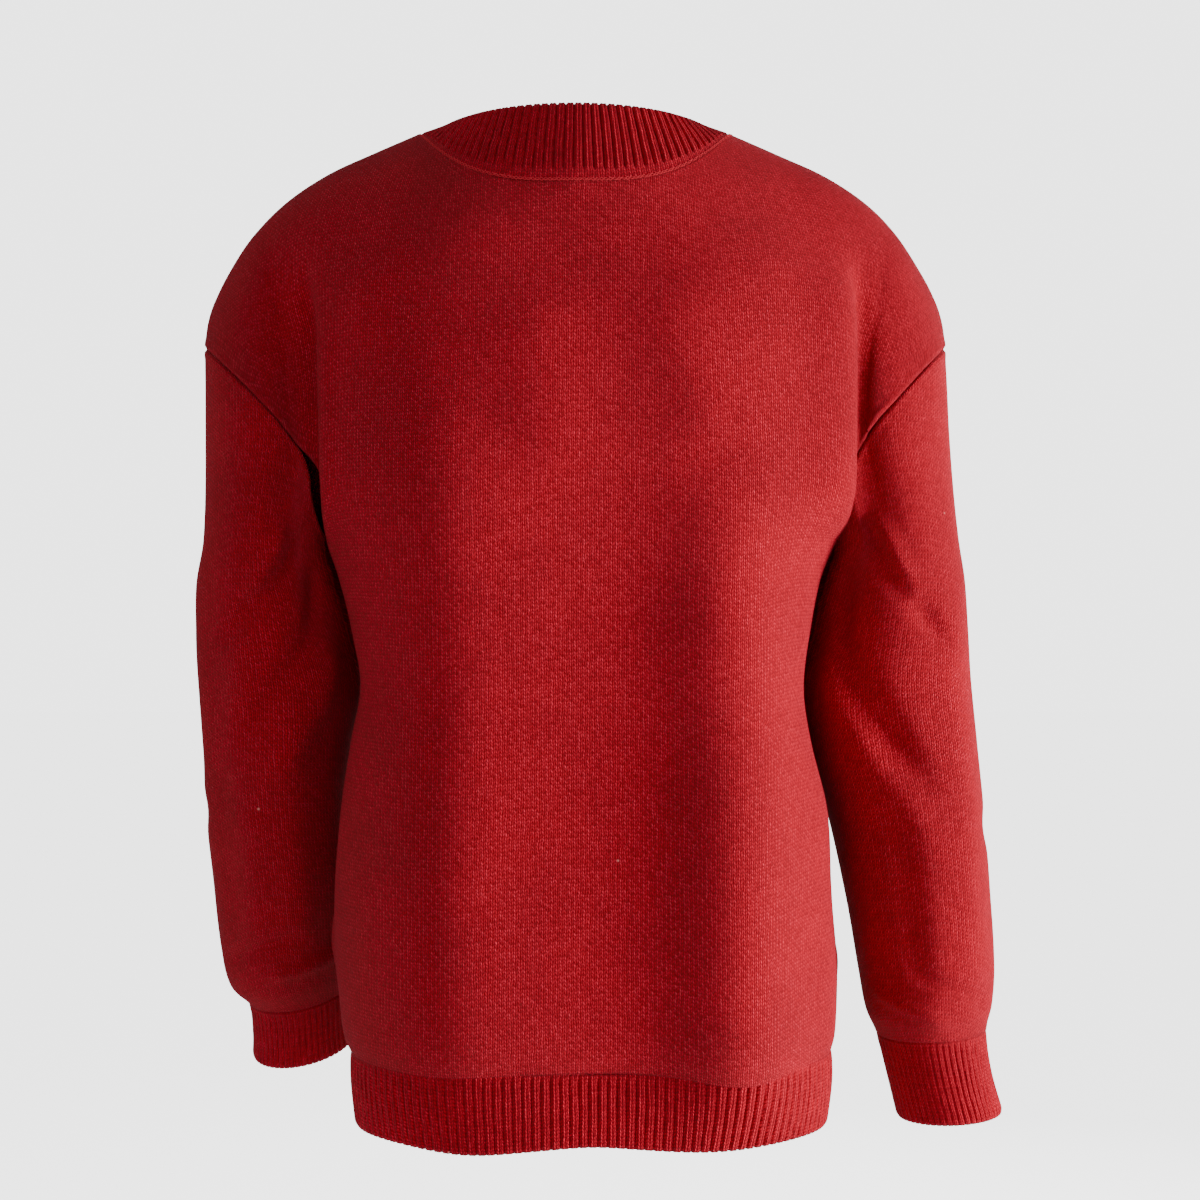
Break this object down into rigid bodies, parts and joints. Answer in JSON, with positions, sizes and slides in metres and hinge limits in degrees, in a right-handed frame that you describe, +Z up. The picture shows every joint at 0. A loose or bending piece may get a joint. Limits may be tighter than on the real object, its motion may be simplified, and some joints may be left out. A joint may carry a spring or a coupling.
{
  "type": "button cardigan",
  "caption": "Hollow worn-form red knit button cardigan with round ribbed neckband, drop shoulders, ribbed hem and cuffs, and a buttoned front.",
  "frame": {"origin": "middle of the neck, level with the high points of the shoulders, where the wearer's neck and shoulders hold the garment up", "axes": "+Z up, +X to the wearer's left, the front faces -Y"},
  "size_m": [0.5392, 0.2606, 0.6633],
  "materials": {
    "knit": "plain wool knit",
    "rib_knit": "one-by-one rib knit",
    "button": "polished"
  },
  "bodies": {
    "root": {"back": "knit", "hem_rib_back": "rib_knit", "front_left": "knit", "hem_rib_front_left": "rib_knit", "front_right": "knit", "hem_rib_front_right": "rib_knit", "sleeve_left": "knit", "cuff_left": "rib_knit", "sleeve_right": "knit", "cuff_right": "rib_knit", "neckband": "rib_knit", "button_band_left": "rib_knit", "button_band_right": "rib_knit", "button_1": "button", "button_2": "button", "button_3": "button", "button_4": "button", "button_5": "button", "button_6": "button", "button_7": "button"}
  },
  "joints": []
}
